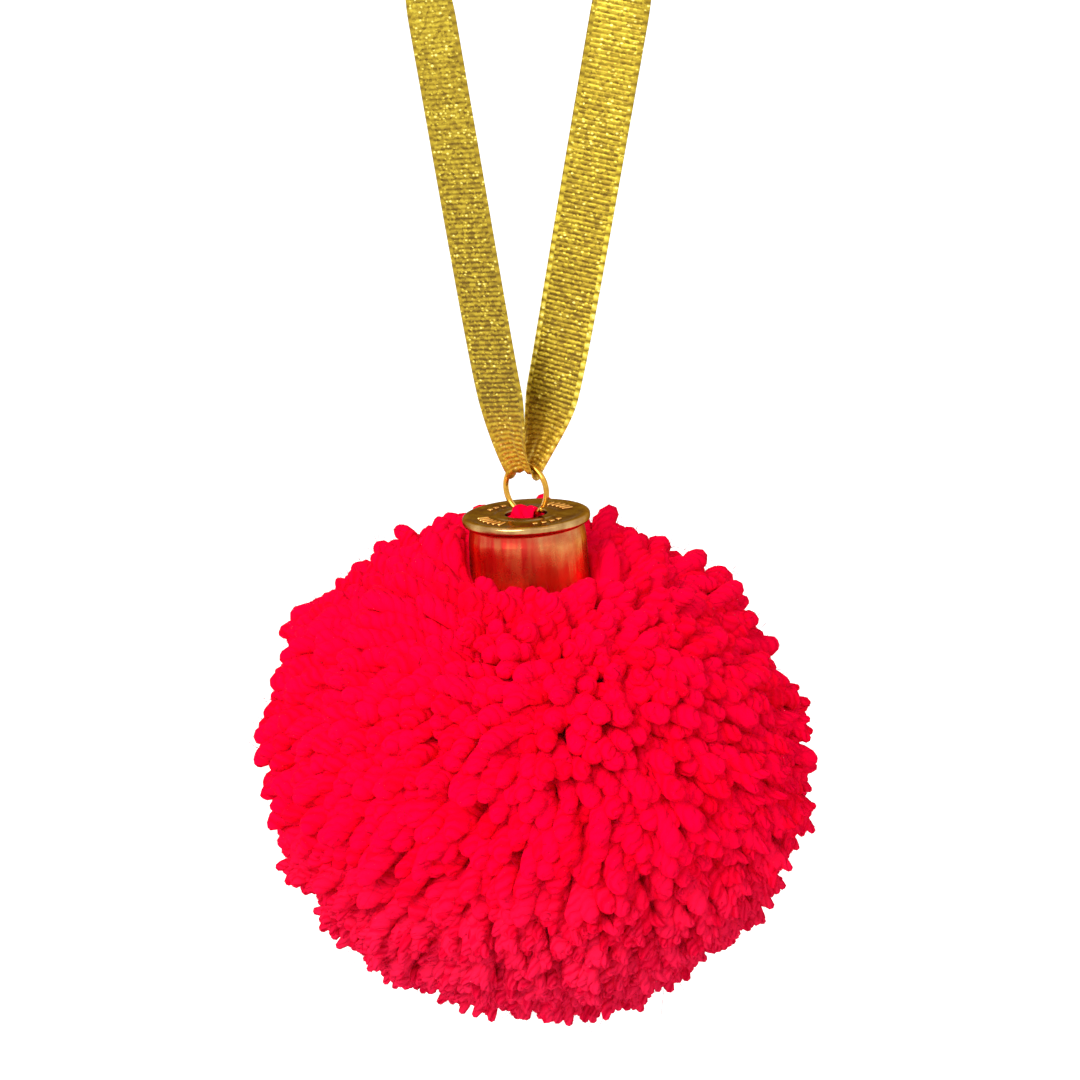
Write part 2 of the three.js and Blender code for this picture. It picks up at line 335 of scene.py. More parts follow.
def smooth_noise(points, wavelength, channels, waves=18):
    """Sum of plane sine waves in random directions, one set for each channel, about -1 to 1."""
    directions = unit(rng.normal(size=(channels, waves, 3))) * (TURN / wavelength)
    directions *= rng.uniform(0.6, 1.5, (channels, waves, 1))
    phases = rng.uniform(0, TURN, (channels, waves))
    return np.sin(np.einsum("...k,cwk->...cw", points, directions) + phases).sum(-1) / math.sqrt(waves)


def in_ball_axes(local):
    """From (right, back, height over the cap's face) to the frame."""
    return FACE_CENTRE + local[..., :1] * BALL_RIGHT + local[..., 1:2] * BALL_BACK + local[..., 2:3] * CAP_UP


def rounded_block(rows, columns, roundness):
    """A block of half size 1 on a grid of latitude and longitude, then its two poles. Each sine and cosine is
    raised to the roundness: 1 gives a sphere, and less gives squarer sides."""
    def raised(x):
        return np.sign(x) * np.abs(x) ** roundness
    lift = np.linspace(-math.pi / 2, math.pi / 2, rows + 2)[1:-1, None]
    around = np.arange(columns)[None] * TURN / columns
    out = np.stack(np.broadcast_arrays(raised(np.cos(lift)) * raised(np.cos(around)),
                                       raised(np.cos(lift)) * raised(np.sin(around)),
                                       raised(np.sin(lift))), axis=-1)
    return np.concatenate([out.reshape(-1, 3), [[0, 0, 1], [0, 0, -1]]])


def grid_faces(rows, columns, wrap_rows=False, wrap_columns=False):
    """Quads of a grid, with each corner's row and column before any wrap, for the UV map."""
    last_row = rows - (not wrap_rows)
    last_column = columns - (not wrap_columns)
    i, j = np.meshgrid(np.arange(last_row), np.arange(last_column), indexing="ij")
    i = i.reshape(-1, 1) + np.array([0, 0, 1, 1])
    j = j.reshape(-1, 1) + np.array([0, 1, 1, 0])
    return (i % rows) * columns + j % columns, i, j


def tube_faces(rings, sides):
    """A tube from its root to its tip, closed by a fan to a pole at each end: its quads, its triangles, and
    the row and the column of each corner, the quads' corners first."""
    quads, i, j = grid_faces(rings, sides, wrap_columns=True)
    side = np.arange(sides)
    next_side = (side + 1) % sides
    top = (rings - 1) * sides
    tip_fan = np.stack([top + side, top + next_side, np.full(sides, rings * sides)], axis=1)
    root_fan = np.stack([next_side, side, np.full(sides, rings * sides + 1)], axis=1)
    fan_rows = np.repeat([[rings - 1, rings - 1, rings], [0, 0, -1]], sides, axis=0)
    fan_columns = np.stack([side, side + 1, side + 0.5], axis=1)
    fan_columns = np.concatenate([fan_columns, fan_columns[:, [1, 0, 2]]])
    rows = np.concatenate([i.ravel(), fan_rows.ravel()])
    columns = np.concatenate([j.ravel(), fan_columns.ravel()])
    return quads, np.concatenate([tip_fan, root_fan]), rows, columns


def repeat_uv(uv, quad_corners, count):
    """The UV map of many like tubes, all their quads first."""
    return np.concatenate([np.tile(uv[:quad_corners], (count, 1)), np.tile(uv[quad_corners:], (count, 1))])


def make_piece(name, points, quads, triangles=(), uv=None, marks=None):
    """Put points in millimetres and their faces into a mesh. uv holds two numbers for each face corner."""
    quads = np.asarray(quads, int).reshape(-1, 4)
    triangles = np.asarray(triangles, int).reshape(-1, 3)
    corners = np.concatenate([quads.ravel(), triangles.ravel()])
    starts = np.concatenate([np.arange(len(quads)) * 4, quads.size + np.arange(len(triangles)) * 3])
    mesh = bpy.data.meshes.new(name)
    points = np.asarray(points, float).reshape(-1, 3) * MM
    mesh.vertices.add(len(points))
    mesh.vertices.foreach_set("co", points.astype(np.float32).ravel())
    mesh.loops.add(len(corners))
    mesh.loops.foreach_set("vertex_index", corners.astype(np.int32))
    mesh.polygons.add(len(starts))
    mesh.polygons.foreach_set("loop_start", starts.astype(np.int32))
    mesh.polygons.foreach_set("use_smooth", np.ones(len(starts), bool))
    if uv is not None:
        layer = mesh.uv_layers.new(name="Surface")
        layer.data.foreach_set("uv", np.asarray(uv, np.float32).ravel())
    for mark, values in (marks or {}).items():
        attribute = mesh.attributes.new(mark, "FLOAT", "POINT")
        attribute.data.foreach_set("value", np.asarray(values, np.float32).ravel())
    mesh.update(calc_edges=True)
    mesh.validate()
    piece = bpy.data.objects.new(name, mesh)
    bpy.context.scene.collection.objects.link(piece)
    return piece


def dress(piece, material, body, slot, *nodes):
    """Give a piece its material and the body it rides on, and hide the nodes that it stands for. slot, its
    finish slot, is not used.
    """
    piece.data.materials.append(material)
    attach(piece, body)
    if nodes:
        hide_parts(*nodes)
    return piece


# Yarn shapes

def strand_skin(lines, reach, radius, slant, sides, aside=None, flat=(1.0, 1.0)):
    """Skin of many strands. Each has rings round a middle line, from root to tip, and a pole past each end.
    reach is each ring's share of the strand's radius, and slant is how far the cut at the tip slopes.
    A flattened strand has its width along aside."""
    count, rings = lines.shape[:2]
    along = unit(np.gradient(lines, axis=1))
    chord = unit(lines[:, -1] - lines[:, 0])
    if aside is None:
        aside = unit(np.cross(chord, unit(rng.normal(size=(count, 3)))))[:, None]
    first = unit(aside - (aside * along).sum(-1, keepdims=True) * along)
    second = np.cross(along, first)
    angle = np.arange(sides) * TURN / sides
    size = (radius[:, None] * reach)[..., None] * rng.uniform(*SKIN_SHARES, (count, rings, sides))
    skin = (lines[:, :, None] + (flat[0] * size * np.cos(angle))[..., None] * first[:, :, None]
            + (flat[1] * size * np.sin(angle))[..., None] * second[:, :, None])
    near_tip = np.linspace(-3, 1, rings).clip(0)[None, :, None]
    skin += (slant[:, None, None] * near_tip * size * np.cos(angle))[..., None] * along[:, :, None]
    tip = lines[:, -1] + along[:, -1] * (radius * TIP_POLE)[:, None]
    root = lines[:, 0] - along[:, 0] * (radius * ROOT_POLE)[:, None]
    return np.concatenate([skin.reshape(count, -1, 3), tip[:, None], root[:, None]], axis=1)


def strand_piece(name, lines, depths, reach, radius, slant, marks, sides=8, **section):
    """One mesh of many strands, with the place round a strand and the depth from its tip as the UV map.
    marks holds one number for each strand under each mark's name."""
    count, rings = lines.shape[:2]
    skin = strand_skin(lines, reach, radius, slant, sides, **section)
    quads, fans, rows, columns = tube_faces(rings, sides)
    offset = np.arange(count)[:, None, None] * skin.shape[1]
    depth_at = np.interp(rows, np.arange(rings), depths)
    uv = repeat_uv(np.stack([columns / sides, depth_at / UV_SPAN], axis=1), quads.size, count)
    marks = {mark: np.repeat(values, skin.shape[1]) for mark, values in marks.items()}
    return make_piece(name, skin, quads + offset, fans + offset, uv, marks)


def spread_directions(count):
    """Even directions over a sphere on a golden-angle spiral, from the top down, each nudged a little."""
    share = (np.arange(count) + 0.5) / count
    height = 1 - 2 * share
    angle = math.pi * (3 - math.sqrt(5)) * np.arange(count)
    flat = np.sqrt(1 - height ** 2)
    even = np.stack([flat * np.cos(angle), flat * np.sin(angle), height], axis=1)
    return unit(even + rng.normal(scale=SPREAD_NUDGE, size=even.shape))


def make_room_for_cap(local):
    """Push yarn aside for the cap: a point moves out from the axis so that the area between it and the cap
    is the area that lay inside it, fading out below the cap's mouth."""
    flat = np.linalg.norm(local[..., :2], axis=-1, keepdims=True)
    room = CAP_ROOM * np.sqrt(smoothstep(local[..., 2:3], *ROOM_HEIGHTS))
    wider = np.sqrt(flat ** 2 + room ** 2)
    return np.concatenate([local[..., :2] * wider / np.maximum(flat, 1e-6), local[..., 2:3]], axis=-1)


def ball_strands(count, share):
    """Middle lines of the strands, in the ball's axes, from root to tip.
    Tips lie on a share of the ball's ellipsoid, made uneven and roughened. Each strand points away from the
    spread point, more and more pulled down by its weight towards its tip, and leans with its neighbours as
    waves of noise make them."""
    out = spread_directions(count)
    length = 1 + TUFT_HEIGHT * smooth_noise(out, TUFT_WIDTH, 1)[..., 0]
    length += np.clip(rng.normal(scale=TRIM, size=count), *TRIM_RANGE)
    for way, height, spread in UNEVEN:
        away = np.arccos(np.clip(out @ unit(np.array(way)), -1, 1))
        length += height / BALL_RADIUS * np.exp(-(away / spread) ** 2)
    tips = out * BALL_SIZE * (share * length)[:, None]
    tips += TIP_WANDER * smooth_noise(out, WANDER_WIDTH, 3)
    root_way = unit(tips - SPREAD_POINT)
    lean = root_way + SAG + TUFT_LEAN * smooth_noise(out, LEAN_WIDTH, 3)
    tip_way = unit(lean + rng.normal(scale=STRAND_LEAN, size=out.shape))
    depth = TIP_DEPTHS[None, :, None]
    bend = depth ** 2 / (2 * TIP_DEPTHS[0])
    lines = tips[:, None] - depth * tip_way[:, None] - bend * (root_way - tip_way)[:, None]
    lines[..., 2] -= BALL_DROP

    # The tips are lower beside the cap, most of all in front of it
    lines = make_room_for_cap(lines)
    flat = np.linalg.norm(lines[..., :2], axis=-1)
    frontness = -lines[..., 1] / flat
    rightness = lines[..., 0] / flat
    near_cap = np.exp(-((flat - CAP_ROOM) / DIP_WIDTH) ** 2) * smoothstep(lines[..., 2], *DIP_HEIGHTS)
    dip = BACK_DIP + FRONT_DIP * smoothstep(frontness, *FRONT_SPAN)
    dip += RIGHT_DIP * smoothstep(rightness, *RIGHT_SPAN)
    lines[..., 2] -= dip * near_cap
    return lines


def add_yarn_strands(yarn, names, count, share):
    """A layer of strands all over the ball, as one piece for each name from the top down. Gives back their
    middle lines, and how low on the ball each is, from 0 at its middle to 1."""
    local = ball_strands(count, share)
    lines = in_ball_axes(local)
    radius = STRAND_RADIUS * rng.uniform(*RADIUS_SHARES, count)
    lowness = smoothstep(-local[:, -1, 2], BALL_DROP, BALL_DROP + LOOSE_DEPTH)
    pointed = np.clip(rng.uniform(-0.5, 0.5, count) + POINTED_WHEN_LOW * lowness, 0, 1)[:, None]
    reach = BLUNT_REACH + pointed * (POINTED_REACH - BLUNT_REACH)
    # Lower strands carry more painted shade and haze in their colour
    marks = {"strand_tint": rng.uniform(0, 1, count), "painted_low_shade": lowness}
    slant = rng.uniform(0, CUT_SLANT, count)
    for name, band in zip(names, np.array_split(np.arange(count), len(names))):
        in_band = {mark: values[band] for mark, values in marks.items()}
        piece = strand_piece(name, lines[band], TIP_DEPTHS, reach[band], radius[band], slant[band], in_band)
        dress(piece, yarn, "pompom", "red_yarn", "yarn_pompom")
    return lines, lowness


def parabolas(start, way, curl, length, points):
    """Lines that leave their start along a way and curve off by the square of the distance along it."""
    length = length[:, None, None]
    along = np.linspace(0, 1, points)[None, :, None] * length
    return start[:, None] + along * way[:, None] + along ** 2 / length * curl[:, None]


def add_fuzz(yarn, lines, lowness):
    """Fine loose fibres. Each leaves the side of a strand near its tip and curves outwards as a parabola.
    There are none beside the cap, where the yarn is pressed."""
    from_cap = np.linalg.norm(lines[:, -1] - FACE_CENTRE, axis=1)
    strand = rng.choice(np.flatnonzero(from_cap > FUZZ_FROM_CAP), FUZZ_COUNT)
    ring = rng.integers(2, len(TIP_DEPTHS) - 1, FUZZ_COUNT)
    share = rng.uniform(0, 1, (FUZZ_COUNT, 1))
    start = lines[strand, ring] * (1 - share) + lines[strand, ring + 1] * share
    tip_way = unit(lines[strand, -1] - lines[strand, -3])
    side = unit(np.cross(tip_way, unit(rng.normal(size=(FUZZ_COUNT, 3)))))
    stray = FUZZ_STRAY * rng.normal(size=(FUZZ_COUNT, 3))
    way = unit(FUZZ_ASIDE * side + FUZZ_AHEAD * tip_way + stray)
    curl = FUZZ_CURL * rng.normal(size=(FUZZ_COUNT, 3))
    length = np.clip(rng.exponential(FUZZ_SPARE, FUZZ_COUNT) + FUZZ_SHORTEST, 0, FUZZ_LONGEST)
    fibres = parabolas(start + FUZZ_ROOT * side, way, curl, length, len(FUZZ_DEPTHS))
    taper = np.tile(FUZZ_TAPER, (FUZZ_COUNT, 1))
    # Loose fibres carry at least half the painted shade and haze
    marks = {"strand_tint": rng.uniform(0, 1, FUZZ_COUNT), "painted_low_shade": 0.5 + 0.5 * lowness[strand]}
    radius = np.full(FUZZ_COUNT, FUZZ_RADIUS)
    slant = np.zeros(FUZZ_COUNT)
    piece = strand_piece("yarn_fuzz", fibres, FUZZ_DEPTHS, taper, radius, slant, marks, sides=3)
    dress(piece, yarn, "pompom", "red_yarn")


def add_frayed_ends(yarn, lines, lowness):
    """Ply ends at the tips of the lower strands, where the plies have come apart, on more strands the lower
    they are, and on the ball's right side. Each starts at the side of its strand, a third of a turn from the
    next, and curves away as a parabola."""
    from_middle = lines[:, -1] - BALL_CENTRE
    on_right = smoothstep(from_middle @ BALL_RIGHT, *RIGHT_PLACES)
    on_right *= smoothstep(-from_middle @ CAP_UP, *RIGHT_DEPTHS)
    looseness = smoothstep(lowness + RIGHT_FRAY * on_right, FRAY_FROM, FRAY_ALL)
    frayed = looseness > rng.uniform(0, 1, len(lowness))
    strand = np.repeat(np.flatnonzero(frayed), PLIES)
    count = len(strand)
    tip_way = unit(lines[strand, -1] - lines[strand, -3])
    aside = unit(np.cross(tip_way, ACROSS_RING))
    first_turn = np.repeat(rng.uniform(0, TURN, count // PLIES), PLIES)
    turn = (np.arange(count) % PLIES) * TURN / PLIES + first_turn
    side = np.cos(turn)[:, None] * aside + np.sin(turn)[:, None] * np.cross(tip_way, aside)
    way = unit(tip_way + FRAY_OPENING * side + rng.normal(scale=FRAY_STRAY, size=(count, 3)))
    curl = FRAY_CURL * side + rng.normal(scale=CURL_STRAY, size=(count, 3))
    length = rng.uniform(*FRAY_LENGTHS, count)
    ends = parabolas(lines[strand, -3] + FRAY_ROOT * side, way, curl, length, len(FRAY_DEPTHS))
    taper = np.tile(FRAY_TAPER, (count, 1))
    marks = {"strand_tint": rng.uniform(0, 1, count), "painted_low_shade": lowness[strand]}
    radius = rng.uniform(*FRAY_RADII, count)
    piece = strand_piece("frayed_ends", ends, FRAY_DEPTHS, taper, radius, np.zeros(count), marks, sides=6)
    dress(piece, yarn, "pompom", "red_yarn")


def add_yarn_core(yarn, rows=48, columns=96):
    """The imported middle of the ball: a smaller ellipsoid, roughened by waves as wide as a strand."""
    out = rounded_block(rows, columns, 1.0)
    local = out * (CORE_SHARE * BALL_SIZE) * (1 + CORE_BUMPS * smooth_noise(out, BUMP_WIDTH, 1))
    local -= np.array([0, 0, BALL_DROP])
    quads, fans, corner_rows, corner_columns = tube_faces(rows, columns)
    uv = np.stack([corner_columns / columns, corner_rows / rows], axis=1)
    marks = {"strand_tint": np.full(len(local), 0.2), "painted_low_shade": np.zeros(len(local))}
    piece = make_piece("yarn_core", in_ball_axes(local), quads, fans, uv, marks)
    dress(piece, yarn, "pompom", "red_yarn")


def add_tie(yarn, rings=44):
    """Two flattened strands side by side: up out of the cap's hole, a half circle over the wire, and down."""
    way = np.linspace(0, 2 * TIE_LEG + math.pi * TIE_BEND, rings)
    angle = np.clip((way - TIE_LEG) / TIE_BEND, 0, math.pi)
    past = np.maximum(way - TIE_LEG - math.pi * TIE_BEND, 0) + np.maximum(TIE_LEG - way, 0)
    across = -TIE_BEND * np.cos(angle)
    height = TIE_BEND * np.sin(angle) - past
    offsets = np.array([-TIE_SPACING / 2, TIE_SPACING / 2])
    lines = (PIVOT + across[None, :, None] * ACROSS_RING + height[None, :, None] * CAP_UP
             + offsets[:, None, None] * TIE_ALONG)
    marks = {"strand_tint": np.array([0.4, 0.7]), "painted_low_shade": np.zeros(2)}
    radius = np.full(2, TIE_RADIUS)
    piece = strand_piece("tie_strands", lines, way, np.ones((2, rings)), radius, np.zeros(2), marks,
                         sides=16, aside=TIE_ALONG, flat=TIE_FLATNESS)
    dress(piece, yarn, "pompom", "red_yarn", "tie_yarn")


def add_hole_yarn(yarn):
    """Short upright strand ends in a ring, which fill the hole round the tie level with the cap's face, and
    are lower where the ring's wire swings over them."""
    count = len(END_TURNS)
    under_wire = np.abs(np.cos(END_TURNS)) > NEAR_WIRE
    tops = np.where(under_wire, END_TOP_UNDER_WIRE, rng.uniform(*END_TOPS, count))
    way = np.cos(END_TURNS)[:, None] * TIE_ALONG + np.sin(END_TURNS)[:, None] * ACROSS_RING
    foot = FACE_CENTRE + END_PLACE * way
    lines = foot[:, None] + (tops[:, None] - END_DEPTHS)[..., None] * CAP_UP
    reach = np.tile(END_REACH, (count, 1))
    marks = {"strand_tint": rng.uniform(0, 1, count), "painted_low_shade": np.zeros(count)}
    radius = np.full(count, END_RADIUS)
    piece = strand_piece("hole_yarn", lines, END_DEPTHS, reach, radius, np.zeros(count), marks)
    dress(piece, yarn, "pompom", "red_yarn")


# Metal shapes

def arc(centre, radius, start, end, steps):
    """Points of a circle in the outline's plane, between two angles in degrees."""
    angle = np.radians(np.linspace(start, end, steps))
    return np.stack([centre[0] + radius * np.cos(angle), centre[1] + radius * np.sin(angle)], axis=1)


def cap_profile():
    """Outline of the cap's wall from the mouth up: skirt, neck, rim, face, hole, web, inside and lip."""
    lip = CAP_WALL / 2
    skirt = np.linspace(0, 1, 10)[:, None]
    low = np.array([MOUTH_RADIUS, -CAP_LENGTH + lip])
    high = np.array([NECK_RADIUS + 0.25, -4.2])
    rim_centre = RIM_RADIUS - RIM_ROUNDING
    under_web = -WEB_THICKNESS - 0.02
    inner_radius = NECK_RADIUS - CAP_WALL
    outside = low + skirt * (high - low)
    neck = np.array([[NECK_RADIUS + 0.18, -3.6], [NECK_RADIUS + 0.06, -3.0]])
    under = arc((NECK_RADIUS + NECK_FILLET, -RIM_THICKNESS - NECK_FILLET), NECK_FILLET, 180, 90, 8)
    rim_low = arc((rim_centre, -RIM_THICKNESS + RIM_ROUNDING), RIM_ROUNDING, -90, 0, 9)
    rim_high = arc((rim_centre, -RIM_ROUNDING), RIM_ROUNDING, 0, 90, 9)
    face = np.array(DISH + [[DISH_LAND, LAND_HEIGHT], [HOLE_RADIUS + 0.5, LAND_HEIGHT]])
    hole = arc((HOLE_RADIUS + HOLE_ROUNDING, LAND_HEIGHT - HOLE_ROUNDING), HOLE_ROUNDING, 90, 180, 6)
    web = np.array([[HOLE_RADIUS, -WEB_THICKNESS], [HOLE_RADIUS + 1.0, under_web],
                    [inner_radius - 0.4, under_web]])
    inside = np.array([[inner_radius, -WEB_THICKNESS - 0.5], [inner_radius, -3.4],
                       [MOUTH_RADIUS - CAP_WALL, -CAP_LENGTH + lip]])
    mouth = arc((MOUTH_RADIUS - lip, -CAP_LENGTH + lip), lip, 180, 350, 7)
    return np.concatenate([outside, neck, under, rim_low, rim_high, face, hole, web, inside, mouth[1:]])


def add_cap(brass):
    """The cap's outline carried round its axis. The UV map holds the turn and the way along the outline.
    The brass is least polished on the face, whose darker colour is partly tarnish and partly painted shade,
    and the painted red reflection of the yarn is most under the rim, on the left."""
    profile = cap_profile()
    angle = np.arange(CAP_COLUMNS) * TURN / CAP_COLUMNS
    from_axis, height = profile[:, :1], profile[:, 1:]
    places = np.broadcast_arrays(from_axis * np.cos(angle), from_axis * np.sin(angle), height)
    local = np.stack(places, axis=-1)
    quads, i, j = grid_faces(len(profile), CAP_COLUMNS, wrap_rows=True, wrap_columns=True)
    way = np.concatenate([[0], np.cumsum(np.linalg.norm(np.diff(profile, axis=0), axis=1))])
    closing_step = 0.1
    way = np.append(way, way[-1] + closing_step)
    uv = np.stack([j.ravel() / CAP_COLUMNS, way[i.ravel()] / UV_SPAN], axis=1)
    on_face = smoothstep(height, *FACE_HEIGHTS) * smoothstep(-from_axis, *FACE_PLACES)
    # Painted shade: the face is darker, as well as tarnished; the rim and skirt are more polished
    polish_and_painted_light = (RIM_POLISH + (1 - RIM_POLISH) * smoothstep(-height, *POLISH_DEPTHS)) * (1 - on_face)
    # Painted red reflection of the yarn: a band under the rim, strongest on the left
    band = smoothstep(-height, *RED_REFLECTION_TOP) * (1 - smoothstep(-height, *RED_REFLECTION_FOOT))
    leftness = smoothstep(-np.cos(angle), *RED_REFLECTION_SIDE)
    painted_red_reflection = band * (FAINT_RED_REFLECTION + (1 - FAINT_RED_REFLECTION) * leftness)
    marks = {"polish_and_painted_light": np.repeat(polish_and_painted_light, CAP_COLUMNS), "painted_red_reflection": painted_red_reflection}
    piece = make_piece("cap_shell", in_ball_axes(local), quads, (), uv, marks)
    dress(piece, brass, "pompom", "brass", "brass_cap")


def add_face_marks(brass, rows=7, columns=16):
    """Plain raised bars and dots in a ring on the cap's face, each a low rounded block."""
    count = len(FACE_MARKS)
    turn, inner, outer, width = np.array(FACE_MARKS).T[..., None]
    turn = np.radians(turn)
    shape = rounded_block(rows, columns, MARK_ROUNDNESS)
    out = (inner + outer) / 2 + shape[None, :, 0] * ((outer - inner) / 2)
    aside = shape[None, :, 1] * (width / 2)
    height = np.broadcast_to(-MARK_SINK + shape[None, :, 2] * MARK_HALF_HEIGHT, out.shape)
    local = np.stack([out * np.cos(turn) - aside * np.sin(turn),
                      out * np.sin(turn) + aside * np.cos(turn), height], axis=-1)
    quads, fans, _, corner_columns = tube_faces(rows, columns)
    offset = np.arange(count)[:, None, None] * len(shape)
    uv = np.stack([corner_columns / CAP_COLUMNS, np.full(corner_columns.size, 0.5)], axis=1)
    # The raised marks take the bright colour, a painted highlight where they catch the light
    marks = {"polish_and_painted_light": np.ones(count * len(shape)), "painted_red_reflection": np.zeros(count * len(shape))}
    piece = make_piece("cap_face_marks", in_ball_axes(local), quads + offset, fans + offset,
                       repeat_uv(uv, quads.size, count), marks)
    dress(piece, brass, "pompom", "brass")


def add_ring(gold, rings=120, sides=20):
    """Round wire carried along a circle from one side of the slit to the other, closed at both ends."""
    slit = RING_SLIT / RING_RADIUS
    angle = np.linspace(SLIT_ANGLE + slit / 2, SLIT_ANGLE + TURN - slit / 2, rings)
    out = np.cos(angle)[:, None] * ALONG_WIRE + np.sin(angle)[:, None] * UP
    around = np.arange(sides)[None, :, None] * TURN / sides
    share = np.concatenate([[WIRE_END_SHARE], np.ones(rings - 2), [WIRE_END_SHARE]])[:, None, None]
    section = np.cos(around) * out[:, None] + np.sin(around) * ACROSS_RING
    skin = RING_CENTRE + RING_RADIUS * out[:, None] + share * WIRE_RADIUS * section
    ends = RING_CENTRE + RING_RADIUS * out[[-1, 0]]
    quads, fans, corner_rows, corner_columns = tube_faces(rings, sides)
    uv = np.stack([corner_columns / sides, corner_rows / rings], axis=1)
    piece = make_piece("ring_wire", np.concatenate([skin.reshape(-1, 3), ends]), quads, fans, uv)
    dress(piece, gold, "hanger", "gold_plate", "jump_ring")


# Ribbon shape. A station is its middle point, its turn about the vertical, and its share of the gather

def ribbon_strand(side, rise, facing):
    """Stations of a strand at heights over the ring's top wire. It swings out, untwists and turns edge on."""
    swing = math.tan(STRAND_SPREAD) * rise + FLARE * (1 - np.exp(-rise / FLARE_LENGTH))
    centre = np.stack([side * swing, 0 * rise, RING_TOP_Z + rise], axis=1)
    centre += (side * FOLD_RADIUS * (1 - rise / STRAND_RISE))[:, None] * ACROSS_RING
    untwisted = facing + (RING_TURN - facing) * np.exp(-rise / UNTWIST_LENGTH)
    edge_on = smoothstep(rise, STRAND_RISE - TWIST_LENGTH, STRAND_RISE)
    turn = -(untwisted + (math.pi / 2 - untwisted) * edge_on)
    return np.column_stack([centre, turn, 1 - smoothstep(rise, 0, GATHER_LENGTH)])


def ribbon_arch(angle, lift):
    """Stations of the arch: a circle about the loop's middle, lifted where it laps over itself."""
    radius = ARCH_RADIUS + lift
    centre = np.stack([radius * np.cos(angle), 0 * angle, -LOOP_RADIUS + radius * np.sin(angle)], axis=1)
    return np.column_stack([centre, np.full(len(angle), -math.pi / 2), 0 * angle])


def ribbon_fold(angle):
    """Stations of the fold: a half circle under the ring's top wire."""
    centre = np.stack([0 * angle, 0 * angle, RING_TOP_Z - FOLD_RADIUS * np.sin(angle)], axis=1)
    centre -= (FOLD_RADIUS * np.cos(angle))[:, None] * ACROSS_RING
    return np.column_stack([centre, np.full(len(angle), -RING_TURN), 1 + 0 * angle])


def ribbon_line():
    """The ribbon's stations and the way along it to each: from the lower end of the seam over the arch, down
    the front strand, under the ring's top wire, up the back strand and over the arch again, where its end
    lies on top of its start. A strand's stations are closer together towards the ring."""
    half_lap = SEAM_LAP / 2 / ARCH_RADIUS
    side = math.pi / 2 + STRAND_SPREAD
    rise = STRAND_RISE * np.linspace(1, 0, 400)[1:-1] ** 1.6
    up = np.linspace(-side, half_lap, 160)
    lift = SEAM_LIFT * smoothstep(up, -2.6 * half_lap, -half_lap)
    line = np.concatenate([
        ribbon_arch(math.pi / 2 + np.linspace(-half_lap, side, 120), 0.0),
        ribbon_strand(-1, rise, LEFT_FACING),
        ribbon_fold(np.linspace(0, math.pi, 40)),
        ribbon_strand(1, rise[::-1], RIGHT_FACING),
        ribbon_arch(math.pi / 2 + up, lift),
    ])
    steps = np.diff(line[:, :3], axis=0, prepend=line[:1, :3])
    return line, np.cumsum(np.linalg.norm(steps, axis=1))


def ribbon_skin(stations, way, share, face):
    """Points of the ribbon's outer face (1) or inner face (-1): across its width by share, and out by half
    its thickness, which swells at each rib and along the corded edges. Where it is gathered it lies in small
    pleats."""
    centre, turn, gather = stations[:, :3], stations[:, 3], stations[:, 4]
    along = unit(np.gradient(centre, axis=0))
    across = np.stack([np.cos(turn), np.sin(turn), 0 * turn], axis=1)
    across = unit(across - ((1 - gather) * (across * along).sum(1))[:, None] * along)
    outward = unit(np.cross(along, across))
    gathered = np.where(share > 0, RIGHT_GATHER, GATHER_HALF_WIDTH)
    half_width = RIBBON_WIDTH / 2 + (gathered - RIBBON_WIDTH / 2)[None] * gather[:, None]
    rib = np.cos(TURN * way / RIB_PITCH)[:, None]
    cord = np.exp(-((np.abs(share) - CORD_PLACE) / CORD_WIDTH) ** 2)[None]
    bead = 0.5 + 0.5 * np.cos(math.pi * way / RIB_PITCH)[:, None]
    edge = np.sqrt(np.clip(1 - np.abs(share) ** EDGE_SQUARENESS, 0, 1))[None]
    cord_half = CORD_SWELL + BEAD_SWELL * bead
    half_thick = edge * (CLOTH_HALF + RIB_SWELL * rib * (1 - cord) + cord * cord_half)
    pleat = gather[:, None] * PLEAT_HEIGHT * (1 - np.cos(TURN * PLEAT_COUNT * share))[None]
    out = face * half_thick + pleat
    drop = gather[:, None] * GATHER_DROOP * (share * gathered / GATHER_HALF_WIDTH)[None] ** 2
    points = (centre[:, None] + (half_width * share[None])[..., None] * across[:, None]
              + out[..., None] * outward[:, None])
    points[..., 2] -= drop
    return points


def add_seam(thread):
    """Two rows of running stitches across the lap at the top of the loop, each a short bar of thread that
    dips into the ribbon at both ends."""
    rows = np.array([-1, 1]) * (SEAM_LAP / 2 - STITCH_INSET) / ARCH_RADIUS
    angle, middle = [part.ravel() for part in np.meshgrid(rows, STITCH_PLACES, indexing="ij")]
    share = np.linspace(-1, 1, STITCH_POINTS)
    radius = ARCH_RADIUS + SEAM_LIFT + STITCH_RISE - STITCH_DIP * share ** 4
    lines = np.stack([np.sin(angle)[:, None] * radius, middle[:, None] + STITCH_HALF_LENGTH * share,
                      np.cos(angle)[:, None] * radius - LOOP_RADIUS], axis=-1)
    count = len(angle)
    piece = strand_piece("seam_stitches", lines, share, np.ones((count, STITCH_POINTS)),
                         np.full(count, STITCH_RADIUS), np.zeros(count), {})
    return dress(piece, thread, "hanger", "metallic_ribbon")


